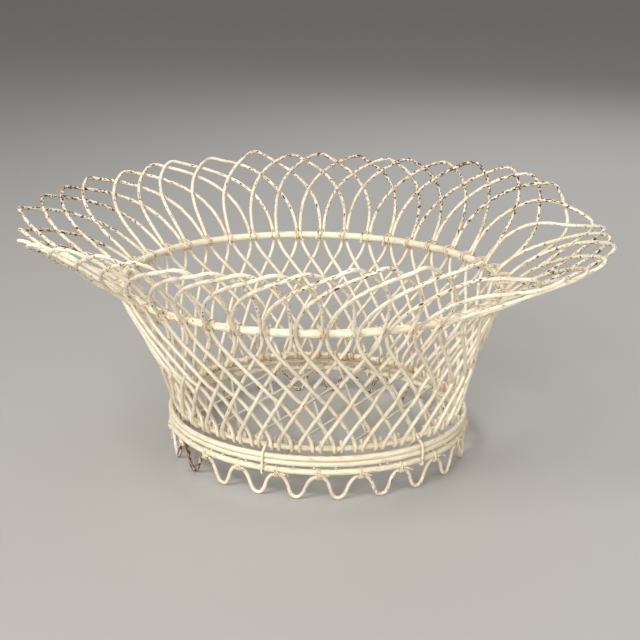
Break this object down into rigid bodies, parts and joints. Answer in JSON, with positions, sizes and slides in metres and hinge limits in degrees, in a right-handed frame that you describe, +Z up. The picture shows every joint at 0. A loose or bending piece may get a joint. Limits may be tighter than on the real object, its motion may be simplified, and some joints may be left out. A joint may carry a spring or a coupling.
{
  "type": "wire produce basket",
  "caption": "Oval wirework produce basket: hairpin wires form a lattice wall and a flared scalloped rim, on a rod band with a floor grid and a scalloped wire foot.",
  "frame": {"origin": "on the surface that the basket stands on, under the middle of the whole basket", "axes": "+X along the long way of the oval rim, +Y across it, +Z up"},
  "size_m": [0.4944, 0.4263, 0.2243],
  "materials": {
    "cream_wire": "old hand-brushed cream paint, satin, chipped to dark rusty steel",
    "cream_rod": "old cream paint, satin, thick, with few chips",
    "worn_foot_wire": "worn cream paint with rust and dirt",
    "grey_floor_wire": "dull, dirty cream-grey paint",
    "binding_wire": "fine soft iron wire, painted over, partly rusted"
  },
  "bodies": {
    "root": {"hairpin_01": "cream_wire", "hairpin_02": "cream_wire", "hairpin_03": "cream_wire", "hairpin_04": "cream_wire", "hairpin_05": "cream_wire", "hairpin_06": "cream_wire", "hairpin_07": "cream_wire", "hairpin_08": "cream_wire", "hairpin_09": "cream_wire", "hairpin_10": "cream_wire", "hairpin_11": "cream_wire", "hairpin_12": "cream_wire", "hairpin_13": "cream_wire", "hairpin_14": "cream_wire", "hairpin_15": "cream_wire", "hairpin_16": "cream_wire", "hairpin_17": "cream_wire", "hairpin_18": "cream_wire", "hairpin_19": "cream_wire", "hairpin_20": "cream_wire", "hairpin_21": "cream_wire", "hairpin_22": "cream_wire", "hairpin_23": "cream_wire", "hairpin_24": "cream_wire", "hairpin_25": "cream_wire", "hairpin_26": "cream_wire", "hairpin_27": "cream_wire", "hairpin_28": "cream_wire", "hairpin_29": "cream_wire", "hairpin_30": "cream_wire", "hairpin_31": "cream_wire", "hairpin_32": "cream_wire", "hairpin_33": "cream_wire", "hairpin_34": "cream_wire", "hairpin_35": "cream_wire", "hairpin_36": "cream_wire", "hairpin_37": "cream_wire", "hairpin_38": "cream_wire", "hairpin_39": "cream_wire", "hairpin_40": "cream_wire", "hairpin_41": "cream_wire", "hairpin_42": "cream_wire", "waist_ring": "cream_rod", "hook_ring": "cream_rod", "upper_band_rod": "cream_rod", "lower_band_rod": "cream_rod", "foot_ring": "cream_rod", "foot_wave": "worn_foot_wire", "floor_wires_upper": "grey_floor_wire", "floor_wires_lower": "grey_floor_wire", "band_clips": "cream_wire", "foot_bindings": "binding_wire", "waist_bindings": "binding_wire"}
  },
  "joints": []
}
